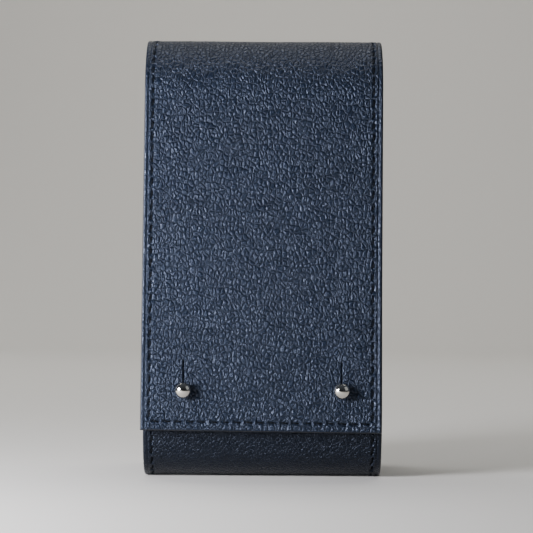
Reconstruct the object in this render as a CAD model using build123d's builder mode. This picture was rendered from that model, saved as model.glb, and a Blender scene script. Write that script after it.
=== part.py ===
from build123d import *
import os
from math import asin, cos, degrees, radians, sin, sqrt

# Travel dice cup: an upright, lined leather cup of rectangular section, closed by a long flap.
# One strip of leather makes the front, the base and the back, and runs on over the top and down the
# front as the flap. Two side gussets with turned flanges are sewn to the strip. The flap closes on two
# ball studs. The X axis is the width, the front faces -Y, and the case stands on Z = 0 with the origin at
# the middle of its level base.

os.makedirs("parts", exist_ok=True)

# Overall sizes
case_height = 148.7  # floor to the top of the crown
body_width = 79.8  # cut width of the strip along the front, base and back
flap_overhang = 0.2  # the flap is cut this much wider than the body on each side
mouth_drop = 18.7  # top edge of the front panel and of both gussets, below the crown's top
flap_edge_height = 16.2  # lower edge of the closed flap

# Side profile
base_flat = 24.0  # depth of the level strip that the case stands on
base_radius = 14.0  # tight bend on each side of the level strip
belly_radius = 42.0  # slow bend between the tight bend and the flat wall
belly_turn = 20.0  # degrees below level at which the two bends meet
wall_lean = 4.5  # degrees that the front and the back lean towards each other
back_shoulder_radius = 16.0
front_shoulder_radius = 20.0

# Layers
leather = 1.6
board = 1.0
cup_lining_thickness = 0.8
flap_lining_thickness = 0.8
gusset_leather = 1.4
flange_width = 6.0  # gusset flange, from the strip's edge to the gusset's outer face
flap_gap = 0.4  # room between the flap's lining and the front panel
layer_gap = 0.1  # room between glued layers that meet edge to face
board_margin = 4.0  # the boards stop this far below the mouth

# Bends where the strip folds
bend_gap = 0.3  # cut between the pieces at each bend
pivot_standoff = 0.3  # the fold axes lie this far outside the leather

# Seams
seam_inset = 3.0  # middle of the stitch line to the cut edge
seam_width = 0.8
groove_depth = 0.4
thread_sink = 0.1  # top of the thread below the leather's face

# Ball studs, with their axis square to the front panel
stud_side_margin = 13.6  # stud's axis to the strip's side edge
stud_margin = 13.6  # stud's axis above the flap's lower edge
head_diameter = 5.4
head_face_radius = 3.2  # dome on the face of the head, and on its underside
head_rim_radius = 1.9  # rounding of the head's rim
head_room = 0.4  # room between the head and the rim of its keyhole
neck_diameter = 3.4
keyhole_room = 0.3  # room around the neck
collar_diameter = 7.0
collar_thickness = 1.0
boss_diameter = 4.0
stud_fit = 0.05  # radial room around the collar, boss and screw
screw_diameter = 2.5
screw_head_diameter = 6.0
screw_seat = 0.2  # board left under the screw's head
screw_reach = 2.0  # end of the screw, outside the front panel
bore_spare = 0.5  # bore beyond the end of the screw
slit_width = 0.45
slit_reach = 9.9  # top of the slit above the stud's axis

# Sizes and places that follow
flap_width = body_width + 2 * flap_overhang
mouth_height = case_height - mouth_drop
stud_height = flap_edge_height + stud_margin
stud_x = body_width / 2 - stud_side_margin
keyhole_diameter = neck_diameter + 2 * keyhole_room
screw_head_thickness = board - screw_seat
lean_sin = sin(radians(wall_lean))
lean_cos = cos(radians(wall_lean))
belly_y = base_flat / 2 + (base_radius - belly_radius) * cos(radians(belly_turn))
belly_z = base_radius + (belly_radius - base_radius) * sin(radians(belly_turn))
foot_y = belly_y + belly_radius * lean_cos  # where the bends end and the flat wall begins
foot_z = belly_z + belly_radius * lean_sin
flap_stand = flap_gap + flap_lining_thickness + leather  # flap's outer face above the front panel
back_rise = (case_height - back_shoulder_radius * (1 - lean_sin) - foot_z) / lean_cos
front_rise = (
    case_height - front_shoulder_radius * (1 - lean_sin) - foot_z - flap_stand * lean_sin
) / lean_cos
crown_back_y = foot_y - back_rise * lean_sin - back_shoulder_radius * lean_cos
crown_front_y = front_rise * lean_sin - foot_y - (flap_stand - front_shoulder_radius) * lean_cos
mouth_rise = (mouth_height - foot_z) / lean_cos
board_rise = mouth_rise - board_margin
flap_drop = (case_height - front_shoulder_radius * (1 - lean_sin) - flap_edge_height) / lean_cos
half_shoulder = (90 - wall_lean) / 2
back_half_bend = half_shoulder - degrees(bend_gap / 2 / back_shoulder_radius)
front_half_bend = half_shoulder - degrees(bend_gap / 2 / front_shoulder_radius)
cup_stack = leather + board + cup_lining_thickness
screw_head_top = leather + board - screw_head_thickness  # depth of the head's outer side
gusset_x = body_width / 2 - flange_width  # outer face of each gusset
gusset_inner_x = gusset_x - gusset_leather
board_half_width = gusset_inner_x - layer_gap
body_seam_x = body_width / 2 - seam_inset
flap_seam_x = flap_width / 2 - seam_inset
flap_seam_drop = flap_drop - seam_inset + seam_width / 2
flap_seam_length = 2 * flap_seam_x + seam_width
mouth_seam_length = 2 * body_seam_x - seam_width - 2 * layer_gap

head_rim_x = head_diameter / 2 - head_rim_radius  # middle of the rim's rounding to the stud's axis
head_rim_drop = sqrt(head_rim_radius**2 - (keyhole_diameter / 2 - head_rim_x) ** 2)
head_reach = flap_stand + head_room + head_rim_drop
head_face_turn = degrees(asin(head_rim_x / (head_face_radius - head_rim_radius)))
head_depth = head_face_radius - sqrt((head_face_radius - head_rim_radius) ** 2 - head_rim_x**2)
stud_rise = (stud_height - foot_z) / lean_cos
front_plane = Plane(
    origin=(0, stud_rise * lean_sin - foot_y, stud_height),
    x_dir=(1, 0, 0),
    z_dir=(0, -lean_cos, lean_sin),
)
flap_plane = front_plane.offset(flap_stand)
flap_seam_y = (flap_edge_height - stud_height - flap_stand * lean_sin) / lean_cos + seam_inset
mouth_seam_y = mouth_rise - stud_rise - seam_inset
stud_places = ((-stud_x, 0), (stud_x, 0))
slit_places = ((-stud_x, slit_reach / 2), (stud_x, slit_reach / 2))


def wall_line(inset, rise, bend=0.0):
    """Half of the side profile, `inset` inside the leather's face: base, bends, wall and shoulder."""
    base = Line((0, inset), (-base_flat / 2, inset))
    heel = JernArc(base @ 1, base % 1, base_radius - inset, belly_turn - 90)
    belly = JernArc(heel @ 1, heel % 1, belly_radius - inset, -belly_turn - wall_lean)
    wall = Line(belly @ 1, belly @ 1 + (belly % 1) * rise)
    if bend == 0:
        return base @ 0, wall @ 1
    shoulder = JernArc(wall @ 1, wall % 1, back_shoulder_radius - inset, -bend)
    return base @ 0, shoulder @ 1


def crown_line(inset):
    """Side profile of the crown, `inset` inside its face, with half of each shoulder."""
    height = case_height - inset
    top = Line((crown_back_y, height), (crown_front_y, height))
    back = JernArc(top @ 0, (1, 0), back_shoulder_radius - inset, -back_half_bend)
    front = JernArc(top @ 1, (-1, 0), front_shoulder_radius - inset, front_half_bend)
    return back @ 1, front @ 1


def flap_line(inset, drop):
    """Side profile of the flap, `inset` inside its face, from half of the front shoulder down."""
    radius = front_shoulder_radius - inset
    start = Vector(
        crown_front_y - radius * lean_cos,
        case_height - front_shoulder_radius + radius * lean_sin,
    )
    face = Line(start, start - Vector(lean_sin, lean_cos) * drop)
    shoulder = JernArc(start, (lean_sin, lean_cos), radius, -front_half_bend)
    return shoulder @ 1, face @ 1


def band(outline, near, far, *extent):
    """Section of one layer, between the depths `near` and `far` of an outline."""
    with BuildSketch() as section:
        with BuildLine():
            near_ends = outline(near, *extent)
            far_ends = outline(far, *extent)
            for near_end, far_end in zip(near_ends, far_ends):
                Line(near_end, far_end)
        make_face()
    return section.sketch


def cup_band(near, far, front, back, bend=0.0):
    """Section of a layer that runs down the front, under the base and up the back."""
    with BuildSketch() as section:
        add(band(wall_line, near, far, front))
        mirror(band(wall_line, near, far, back, bend), about=Plane.YZ)
    return section.sketch


def cup_section(inset, rise):
    """Whole section of the cup, `inset` inside the leather's face, closed level at the top."""
    with BuildSketch() as section:
        with BuildLine():
            middle, top = wall_line(inset, rise)
            Polyline(middle, (0, top.Y), top)
        make_face()
        mirror(about=Plane.YZ)
    return section.sketch


def wall_patch(near, far, low, high):
    """Section of a layer on the back wall only, from `low` to `high` and on to the fold."""
    with BuildSketch() as section:
        mirror(band(wall_line, near, far, high, back_half_bend), about=Plane.YZ)
        add(cup_section(-leather, low), mode=Mode.SUBTRACT)
    return section.sketch


def stud_holes(diameter, from_depth, to_depth):
    """Cut two round holes along the studs' axes between two depths behind the front panel's face."""
    with BuildSketch(front_plane.offset(-from_depth)) as holes:
        with Locations(*stud_places):
            Circle(diameter / 2)
    extrude(holes.sketch, amount=from_depth - to_depth, mode=Mode.SUBTRACT)


def keyholes():
    """Cut both keyholes through the flap: a round hole for the neck, with a slit above it."""
    with BuildSketch(front_plane) as openings:
        with Locations(*stud_places):
            Circle(keyhole_diameter / 2)
        with Locations(*slit_places):
            Rectangle(slit_width, slit_reach)
    extrude(openings.sketch, amount=flap_stand + leather, mode=Mode.SUBTRACT)


def cross_band(plane, height, length, near, far):
    """Straight run of a seam across the leather, between two depths behind the given face."""
    with BuildPart() as run:
        with BuildSketch(plane.offset(-near)):
            with Locations((0, height)):
                Rectangle(length, seam_width)
        extrude(amount=near - far)
    return run.part


def save(part, name):
    """Label one piece and write it to its own file."""
    part.label = name
    export_step(part, f"parts/{name}.step")


body_groove = cup_band(-thread_sink, groove_depth, mouth_rise, back_rise, back_half_bend)
body_thread = cup_band(thread_sink, groove_depth, mouth_rise, back_rise, back_half_bend)
crown_groove = band(crown_line, -thread_sink, groove_depth)
crown_thread = band(crown_line, thread_sink, groove_depth)
flap_groove = band(flap_line, -thread_sink, groove_depth, flap_seam_drop)
flap_thread = band(flap_line, thread_sink, groove_depth, flap_seam_drop)

# Strip of leather along the front, base and back
with BuildPart() as body_leather:
    with BuildSketch(Plane.YZ):
        add(cup_band(0, leather, mouth_rise, back_rise, back_half_bend))
    extrude(amount=body_width / 2, both=True)
    for seam_x in (-body_seam_x, body_seam_x):
        with BuildSketch(Plane.YZ.offset(seam_x)):
            add(body_groove)
        extrude(amount=seam_width / 2, both=True, mode=Mode.SUBTRACT)
    add(
        cross_band(front_plane, mouth_seam_y, mouth_seam_length, -thread_sink, groove_depth),
        mode=Mode.SUBTRACT,
    )
    stud_holes(collar_diameter + 2 * stud_fit, 0, collar_thickness)
    stud_holes(boss_diameter + 2 * stud_fit, 0, 2 * leather)
    stud_holes(screw_head_diameter + 2 * stud_fit, screw_head_top, leather + 2 * board)
save(body_leather.part, "body_leather")

# Thread across the top of the front panel
mouth_seam = cross_band(front_plane, mouth_seam_y, mouth_seam_length, thread_sink, groove_depth)
save(mouth_seam, "mouth_seam")

# Board that stiffens the front, base and back
with BuildPart() as body_board:
    with BuildSketch(Plane.YZ):
        add(cup_band(leather, leather + board, board_rise, board_rise))
    extrude(amount=board_half_width, both=True)
    stud_holes(screw_diameter + 2 * stud_fit, leather - board, leather + 2 * board)
    stud_holes(screw_head_diameter + 2 * stud_fit, screw_head_top, leather + 2 * board)
save(body_board.part, "body_board")

# Lining of the cup, with a pocket for the board
with BuildPart() as cup_lining:
    with BuildSketch(Plane.YZ):
        add(cup_band(leather, cup_stack, mouth_rise, mouth_rise))
    extrude(amount=board_half_width, both=True)
    with BuildSketch(Plane.YZ):
        add(cup_band(leather, leather + board, board_rise, board_rise))
    extrude(amount=board_half_width, both=True, mode=Mode.SUBTRACT)
save(cup_lining.part, "cup_lining")

# Part of the flap's lining that lies on the back wall, above the mouth
with BuildPart() as shoulder_lining:
    with BuildSketch(Plane.YZ):
        add(wall_patch(leather, leather + flap_lining_thickness, mouth_rise, back_rise))
    extrude(amount=body_width / 2, both=True)
save(shoulder_lining.part, "shoulder_lining")

for side, name in ((-1, "left"), (1, "right")):
    # Side gusset, with a flange turned outwards along the front, base and back
    with BuildPart() as gusset:
        with BuildSketch(Plane.YZ.offset(side * gusset_inner_x)):
            add(cup_section(leather, mouth_rise))
        extrude(amount=side * gusset_leather)
        with BuildSketch(Plane.YZ.offset(side * gusset_inner_x)):
            add(cup_band(leather, leather + gusset_leather, mouth_rise, mouth_rise))
        extrude(amount=side * (gusset_leather + flange_width))
    save(gusset.part, f"{name}_gusset")

    # Board behind the gusset
    with BuildPart() as gusset_board:
        with BuildSketch(Plane.YZ.offset(side * gusset_inner_x)):
            add(cup_section(cup_stack + layer_gap, board_rise))
        extrude(amount=-side * board)
    save(gusset_board.part, f"{name}_gusset_board")

    # Lining of the gusset, with a pocket for the board
    with BuildPart() as gusset_lining:
        with BuildSketch(Plane.YZ.offset(side * gusset_inner_x)):
            add(cup_section(cup_stack, mouth_rise))
        extrude(amount=-side * (board + cup_lining_thickness))
        add(gusset_board.part, mode=Mode.SUBTRACT)
    save(gusset_lining.part, f"{name}_gusset_lining")

    # Thread of the seam between the strip and the gusset
    with BuildPart() as body_seam:
        with BuildSketch(Plane.YZ.offset(side * body_seam_x)):
            add(body_thread)
        extrude(amount=seam_width / 2, both=True)
    save(body_seam.part, f"{name}_body_seam")

    # Thread along the edge of the crown
    with BuildPart() as crown_seam:
        with BuildSketch(Plane.YZ.offset(side * flap_seam_x)):
            add(crown_thread)
        extrude(amount=seam_width / 2, both=True)
    save(crown_seam.part, f"{name}_crown_seam")

    stud_plane = front_plane.shift_origin(front_plane.from_local_coords((side * stud_x, 0, 0)))

    # Ball stud: a collar bedded in the leather, a boss through it, a neck and a slightly flattened ball
    with BuildPart(stud_plane) as stud:
        with Locations((0, 0, -collar_thickness)):
            Cylinder(collar_diameter / 2, collar_thickness, align=(Align.CENTER, Align.CENTER, Align.MIN))
        with Locations((0, 0, -leather)):
            Cylinder(boss_diameter / 2, leather, align=(Align.CENTER, Align.CENTER, Align.MIN))
        Cylinder(neck_diameter / 2, head_reach, align=(Align.CENTER, Align.CENTER, Align.MIN))
        with BuildSketch(Plane(stud_plane.origin, stud_plane.x_dir, -stud_plane.y_dir)) as head:
            with BuildLine():
                face = JernArc((0, head_reach + head_depth), (1, 0), head_face_radius, -head_face_turn)
                rim = JernArc(face @ 1, face % 1, head_rim_radius, 2 * head_face_turn - 180)
                underside = JernArc(rim @ 1, rim % 1, head_face_radius, -head_face_turn)
                Line(underside @ 1, face @ 0)
            make_face()
        revolve(head.sketch, axis=Axis(stud_plane.origin, stud_plane.z_dir))
        with Locations((0, 0, -leather)):
            Cylinder(
                screw_diameter / 2 + stud_fit,
                leather + screw_reach + bore_spare,
                align=(Align.CENTER, Align.CENTER, Align.MIN),
                mode=Mode.SUBTRACT,
            )
    save(stud.part, f"{name}_stud")

    # Screw that holds the stud from inside, with its head sunk in the board
    with BuildPart(stud_plane.offset(-leather - board)) as stud_screw:
        Cylinder(
            screw_head_diameter / 2,
            screw_head_thickness,
            align=(Align.CENTER, Align.CENTER, Align.MIN),
        )
        Cylinder(
            screw_diameter / 2,
            leather + board + screw_reach,
            align=(Align.CENTER, Align.CENTER, Align.MIN),
        )
    save(stud_screw.part, f"{name}_stud_screw")

# Leather and lining of the crown, which folds against the back
with BuildPart() as crown_leather:
    with BuildSketch(Plane.YZ):
        add(band(crown_line, 0, leather))
    extrude(amount=flap_width / 2, both=True)
    for seam_x in (-flap_seam_x, flap_seam_x):
        with BuildSketch(Plane.YZ.offset(seam_x)):
            add(crown_groove)
        extrude(amount=seam_width / 2, both=True, mode=Mode.SUBTRACT)
save(crown_leather.part, "crown_leather")

with BuildPart() as crown_lining:
    with BuildSketch(Plane.YZ):
        add(band(crown_line, leather, leather + flap_lining_thickness))
    extrude(amount=flap_width / 2, both=True)
save(crown_lining.part, "crown_lining")

# Flap, which folds against the crown and closes on the studs
with BuildPart() as flap_leather:
    with BuildSketch(Plane.YZ):
        add(band(flap_line, 0, leather, flap_drop))
    extrude(amount=flap_width / 2, both=True)
    keyholes()
    for seam_x in (-flap_seam_x, flap_seam_x):
        with BuildSketch(Plane.YZ.offset(seam_x)):
            add(flap_groove)
        extrude(amount=seam_width / 2, both=True, mode=Mode.SUBTRACT)
    add(
        cross_band(flap_plane, flap_seam_y, flap_seam_length, -thread_sink, groove_depth),
        mode=Mode.SUBTRACT,
    )
save(flap_leather.part, "flap_leather")

# Thread down both sides of the flap and across its lower edge
with BuildPart() as flap_seam:
    for seam_x in (-flap_seam_x, flap_seam_x):
        with BuildSketch(Plane.YZ.offset(seam_x)):
            add(flap_thread)
        extrude(amount=seam_width / 2, both=True)
    add(cross_band(flap_plane, flap_seam_y, flap_seam_length, thread_sink, groove_depth))
save(flap_seam.part, "flap_seam")

with BuildPart() as flap_lining:
    with BuildSketch(Plane.YZ):
        add(band(flap_line, leather, leather + flap_lining_thickness, flap_drop))
    extrude(amount=flap_width / 2, both=True)
    keyholes()
save(flap_lining.part, "flap_lining")
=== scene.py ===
"""Travel dice cup in pebbled leather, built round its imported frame."""

import math

import bmesh
import bpy
import numpy as np
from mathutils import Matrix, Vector


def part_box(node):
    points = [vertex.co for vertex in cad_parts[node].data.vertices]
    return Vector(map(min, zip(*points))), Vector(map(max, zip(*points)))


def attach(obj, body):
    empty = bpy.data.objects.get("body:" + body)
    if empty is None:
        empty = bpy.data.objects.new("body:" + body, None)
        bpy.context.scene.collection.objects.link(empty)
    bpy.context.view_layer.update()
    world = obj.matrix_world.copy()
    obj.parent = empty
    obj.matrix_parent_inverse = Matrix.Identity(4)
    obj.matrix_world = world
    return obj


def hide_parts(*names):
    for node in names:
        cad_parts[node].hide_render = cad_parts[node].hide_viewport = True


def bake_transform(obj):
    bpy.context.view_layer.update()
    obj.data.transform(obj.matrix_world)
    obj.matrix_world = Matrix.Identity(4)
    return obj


bl_info = {
    "name": "Travel Dice Cup",
    "version": (1, 0, 0),
    "blender": (4, 5, 0),
    "location": "View3D > Sidebar > Dice Cup",
    "description": "Builds a leather travel dice cup with a stitched flap and two ball studs",
    "category": "Add Mesh",
}

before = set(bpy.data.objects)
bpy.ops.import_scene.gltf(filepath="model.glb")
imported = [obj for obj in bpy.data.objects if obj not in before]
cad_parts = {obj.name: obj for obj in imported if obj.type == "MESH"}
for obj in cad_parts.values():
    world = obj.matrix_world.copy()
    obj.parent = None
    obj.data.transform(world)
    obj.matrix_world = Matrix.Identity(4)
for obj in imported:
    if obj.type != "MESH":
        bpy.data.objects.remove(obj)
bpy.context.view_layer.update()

MM = 0.001

# width of the edge paint on the leather's face, and how far beyond it the grain comes in
PAINT = 0.3 * MM
FADE = 0.5 * MM


def linear(code):
    """Linear colour of an sRGB hex code such as #2a3342."""
    parts = [int(code[i : i + 2], 16) / 255 for i in (1, 3, 5)]
    return tuple(p / 12.92 if p <= 0.04045 else ((p + 0.055) / 1.055) ** 2.4 for p in parts)


# ---------------------------------------------------------------- properties


def length(name, description, value):
    """A length property, with its default in millimetres."""
    return bpy.props.FloatProperty(
        name=name, description=description, default=value * MM, unit="LENGTH", precision=5
    )


def colour(name, description, code):
    """A colour property, with its default as an sRGB hex code."""
    return bpy.props.FloatVectorProperty(
        name=name, description=description, default=linear(code), subtype="COLOR", min=0, max=1
    )


class CupSizes(bpy.types.PropertyGroup):
    """Sizes of the strip of leather and of what is sewn to it."""

    base_flat: length("Base Flat", "Depth of the level strip under the cup", 24.0)
    base_radius: length("Base Radius", "Tight bend beside the level strip", 14.0)
    belly_radius: length("Belly Radius", "Slow bend between the tight bend and the wall", 42.0)
    belly_turn: bpy.props.FloatProperty(
        name="Belly Turn",
        description="Angle below level at which the two bends meet",
        default=math.radians(20),
        subtype="ANGLE",
    )
    wall_lean: bpy.props.FloatProperty(
        name="Wall Lean",
        description="Angle that the front and back lean towards each other",
        default=math.radians(4.5),
        subtype="ANGLE",
    )
    back_shoulder: length("Back Shoulder", "Radius of the bend from the back to the crown", 16.0)
    front_shoulder: length("Front Shoulder", "Radius of the bend from the crown to the flap", 20.0)
    leather: length("Leather", "Thickness of the outer leather", 1.6)
    board: length("Board", "Thickness of the boards", 1.0)
    lining: length("Lining", "Thickness of the linings", 0.8)
    gusset: length("Gusset", "Thickness of the gusset leather", 1.4)
    flange: length("Flange", "Width of the gusset's flange", 6.0)
    flap_gap: length("Flap Gap", "Room between the flap's lining and the front panel", 0.4)
    board_margin: length("Board Margin", "The boards stop this far below the mouth", 4.0)
    edge_round: length("Edge Round", "Radius of the burnished cut edges", 0.45)
    crease_inset: length("Crease Inset", "Creased line to the cut edge", 1.55)
    crease_depth: length("Crease Depth", "Depth of the creased line", 0.17)
    gusset_turn: length("Gusset Turn", "Radius where the gusset turns into its flange", 1.5)
    drift: length("Drift", "How far the hand-cut flap hangs to the left at its lower edge", 0.45)
    slope: bpy.props.FloatProperty(
        name="Slope",
        description="Angle of the flap's lower edge to level",
        default=math.radians(0.5),
        subtype="ANGLE",
    )


class GrainSizes(bpy.types.PropertyGroup):
    """Sizes of the leather's grain."""

    cell: length("Flap Cell", "Width of one raised cell on the flap and the back", 1.5)
    fine_cell: length("Body Cell", "Width of one raised cell on the front, base and gussets", 1.15)
    depth: length("Relief", "Height of the cells in the mesh", 0.15)
    fine_depth: length("Body Relief", "Height of the finer cells in the mesh", 0.09)


class SeamSizes(bpy.types.PropertyGroup):
    """Sizes of the hand-sewn seams."""

    inset: length("Seam Inset", "Stitch line to the cut edge", 3.0)
    pitch: length("Stitch Pitch", "Length of one stitch", 3.87)
    thread: length("Thread", "Diameter of the thread", 0.56)
    length: length("Stitch Length", "Distance between the two holes of one stitch", 2.7)
    bury: length("Bury", "Depth of the thread's ends in their holes", 0.8)
    sink: length("Sink", "Depth at which the thread lies in its groove", 0.4)
    corner: length("Corner", "Radius of the seam's corners on the flap", 1.6)
    slant: bpy.props.FloatProperty(
        name="Slant",
        description="Angle of each stitch to the seam",
        default=math.radians(-9),
        subtype="ANGLE",
    )
    seed: bpy.props.IntProperty(name="Seed", description="Seed of the small irregularities", default=7)


class StudSizes(bpy.types.PropertyGroup):
    """Sizes of the ball studs and their keyholes."""

    margin: length("Margin", "Stud's axis above the flap's lower edge", 13.6)
    head: length("Head", "Diameter of the head", 5.4)
    face: length("Face", "Radius of the dome on the head's face and underside", 3.2)
    rim: length("Rim", "Radius of the head's rounded rim", 1.9)
    neck: length("Neck", "Diameter of the neck", 3.4)
    collar: length("Collar", "Diameter of the collar", 7.0)
    collar_depth: length("Collar Depth", "Thickness of the collar", 1.0)
    keyhole: length("Keyhole", "Diameter of the round part of the keyhole", 4.0)
    slit: length("Slit", "Width of the slit", 0.4)
    slit_reach: length("Slit Reach", "Top of the slit above the stud's axis", 9.9)


class Finishes(bpy.types.PropertyGroup):
    """Colours of the leather, thread and metal."""

    # the valley navy is painted shade: the grain's creases are darkened in the colour
    leather_shaded_valleys: colour("Leather Valleys", "Navy in the valleys of the grain", "#06080d")
    leather_high: colour("Leather Peaks", "Navy on the peaks of the grain", "#141c2a")
    # the wax tint is a painted blue tint on the leather's reflections, standing in for bluish light
    wax: colour("Wax", "Tint of the wax's shine on the leather", "#cfdcf8")
    edge: colour("Edge Paint", "Painted cut edges", "#0b0f17")
    lining: colour("Flap Lining", "Smooth lining of the flap", "#12161e")
    suede: colour("Cup Lining", "Suede lining of the cup", "#171c26")
    thread: colour("Thread", "Waxed thread", "#06080b")
    metal: colour("Studs", "Polished nickel", "#d2cec6")
    board: colour("Boards", "Bonded leather board", "#6d5640")
    steel: colour("Screws", "Turned steel", "#9b9b98")
    floor: colour("Floor", "Studio floor and backdrop", "#d9d5cd")


# ---------------------------------------------------------------- side profile


def ease(t):
    """A smooth step from 0 to 1."""
    t = np.clip(t, 0, 1)
    return t * t * (3 - 2 * t)


def hill(distance, width):
    """A smooth hill, 1 at its middle and about a third of that one width away."""
    return np.exp(-((distance / width) ** 2))


class Profile:
    """The strip's outer face from the side, as one path from the front's mouth edge to the flap's edge."""

    def __init__(self, sizes):
        lean = sizes.wall_lean
        sin, cos = math.sin(lean), math.cos(lean)
        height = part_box("crown_leather")[1].z
        foot_y = (
            sizes.base_flat / 2
            + (sizes.base_radius - sizes.belly_radius) * math.cos(sizes.belly_turn)
            + sizes.belly_radius * cos
        )
        foot_z = (
            sizes.base_radius
            + (sizes.belly_radius - sizes.base_radius) * math.sin(sizes.belly_turn)
            + sizes.belly_radius * sin
        )
        stand = sizes.flap_gap + sizes.lining + sizes.leather
        mouth_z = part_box("cup_lining")[1].z + sizes.leather * sin
        flap_edge_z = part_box("flap_leather")[0].z + sizes.leather * sin
        mouth_rise = (mouth_z - foot_z) / cos
        back_rise = (height - sizes.back_shoulder * (1 - sin) - foot_z) / cos
        front_rise = (height - sizes.front_shoulder * (1 - sin) - foot_z - stand * sin) / cos
        crown_back_y = foot_y - back_rise * sin - sizes.back_shoulder * cos
        crown_front_y = front_rise * sin - foot_y - (stand - sizes.front_shoulder) * cos
        flap_drop = (height - sizes.front_shoulder * (1 - sin) - flap_edge_z) / cos
        belly = sizes.belly_turn + lean
        heel = math.pi / 2 - sizes.belly_turn
        shoulder = math.pi / 2 - lean
        runs = (
            ("mouth", mouth_rise, 0),
            ("front_belly", belly * sizes.belly_radius, sizes.belly_radius),
            ("front_heel", heel * sizes.base_radius, sizes.base_radius),
            ("base", sizes.base_flat, 0),
            ("back_heel", heel * sizes.base_radius, sizes.base_radius),
            ("back_belly", belly * sizes.belly_radius, sizes.belly_radius),
            ("back", back_rise, 0),
            ("back_shoulder", shoulder * sizes.back_shoulder, sizes.back_shoulder),
            ("crown", crown_back_y - crown_front_y, 0),
            ("front_shoulder", shoulder * sizes.front_shoulder, sizes.front_shoulder),
            ("flap", flap_drop, 0),
        )
        heading = math.pi * 3 / 2 - lean
        point = np.array([-(foot_y - mouth_rise * sin), mouth_z])
        self.start, self.radius, self.point, self.heading = [], [], [], []
        self.at = {}
        travelled = 0.0
        for name, run, radius in runs:
            self.at[name] = travelled
            self.start.append(travelled)
            self.radius.append(radius)
            self.point.append(point)
            self.heading.append(heading)
            travelled += run
            point, heading = self._step(point, heading, run, radius)
        self.at["end"] = travelled
        self.start = np.array(self.start)
        self.radius = np.array(self.radius)
        self.point = np.array(self.point)
        self.heading = np.array(self.heading)
        self.base_middle = self.at["base"] + sizes.base_flat / 2
        self.crown_middle = (self.at["crown"] + self.at["front_shoulder"]) / 2
        self.back_mouth = self.at["back"] + mouth_rise
        self.mouth_rise = mouth_rise
        self.drift, self.slope = sizes.drift, math.tan(sizes.slope)

    @staticmethod
    def _step(point, heading, run, radius):
        if not radius:
            return point + run * np.array([math.cos(heading), math.sin(heading)]), heading
        after = heading + run / radius
        moved = [math.sin(after) - math.sin(heading), math.cos(heading) - math.cos(after)]
        return point + radius * np.array(moved), after

    def _run_at(self, v):
        """Number of the run that holds the distance v."""
        return np.clip(np.searchsorted(self.start, v, side="right") - 1, 0, len(self.start) - 1)

    def points(self, v, depth=0.0):
        """Y and Z at the distance v along the path, depth inside the leather's outer face."""
        v = np.asarray(v, float)
        i = self._run_at(v)
        run, radius, h0 = v - self.start[i], self.radius[i], self.heading[i]
        curved = radius > 0
        safe = np.where(curved, radius, 1.0)
        h = h0 + np.where(curved, run / safe, 0.0)
        dy = np.where(curved, safe * (np.sin(h) - np.sin(h0)), run * np.cos(h0))
        dz = np.where(curved, safe * (np.cos(h0) - np.cos(h)), run * np.sin(h0))
        y = self.point[i, 0] + dy - np.sin(h) * depth
        z = self.point[i, 1] + dz + np.cos(h) * depth
        return y, z

    def heading_at(self, v):
        """Heading of the path, as an angle in the YZ plane."""
        v = np.asarray(v, float)
        i = self._run_at(v)
        curved = self.radius[i] > 0
        turned = (v - self.start[i]) / np.where(curved, self.radius[i], 1)
        return self.heading[i] + np.where(curved, turned, 0)

    def hang(self, v):
        """How much of the flap's drift has built up at the distance v, from 0 to 1."""
        start = self.at["back_shoulder"]
        return ease((np.asarray(v, float) - start) / (self.at["end"] - start))

    def place(self, u, v, height=0.0):
        """Points on the strip: u across, v along, height above the outer face."""
        hang = self.hang(v)
        sloped = np.asarray(v, float) + self.slope * np.asarray(u, float) * hang
        y, z = self.points(sloped, -np.asarray(height, float))
        return np.stack(np.broadcast_arrays(u - self.drift * hang, y, z), axis=-1)

    def tangent(self, v):
        """Unit vectors along the path."""
        h = self.heading_at(v)
        return np.stack([np.zeros_like(h), np.cos(h), np.sin(h)], axis=-1)

    def normal(self, v):
        """Unit vectors out of the leather."""
        h = self.heading_at(v)
        return np.stack([np.zeros_like(h), np.sin(h), -np.cos(h)], axis=-1)


def half_width(path, v):
    """Half of the strip's width: the crown and flap are cut a little wider than the body."""
    body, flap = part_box("body_leather")[1].x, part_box("flap_leather")[1].x
    start, end = path.at["back_shoulder"], path.at["crown"]
    return body + (flap - body) * ease((np.asarray(v, float) - start) / (end - start))


# ---------------------------------------------------------------- mesh helpers


def grid_quads(rows, columns):
    """Quads of a grid of vertices stored row by row."""
    i = np.arange((rows - 1) * columns).reshape(rows - 1, columns)[:, :-1].ravel()
    return np.stack([i, i + columns, i + columns + 1, i + 1], axis=1)


def rims(quads):
    """Directed edges that only one quad uses."""
    edges = np.concatenate([quads[:, [k, (k + 1) % 4]] for k in range(4)])
    edges = edges[edges[:, 0] != edges[:, 1]]
    _, index, counts = np.unique(np.sort(edges, axis=1), axis=0, return_index=True, return_counts=True)
    return edges[index[counts == 1]]


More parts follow.
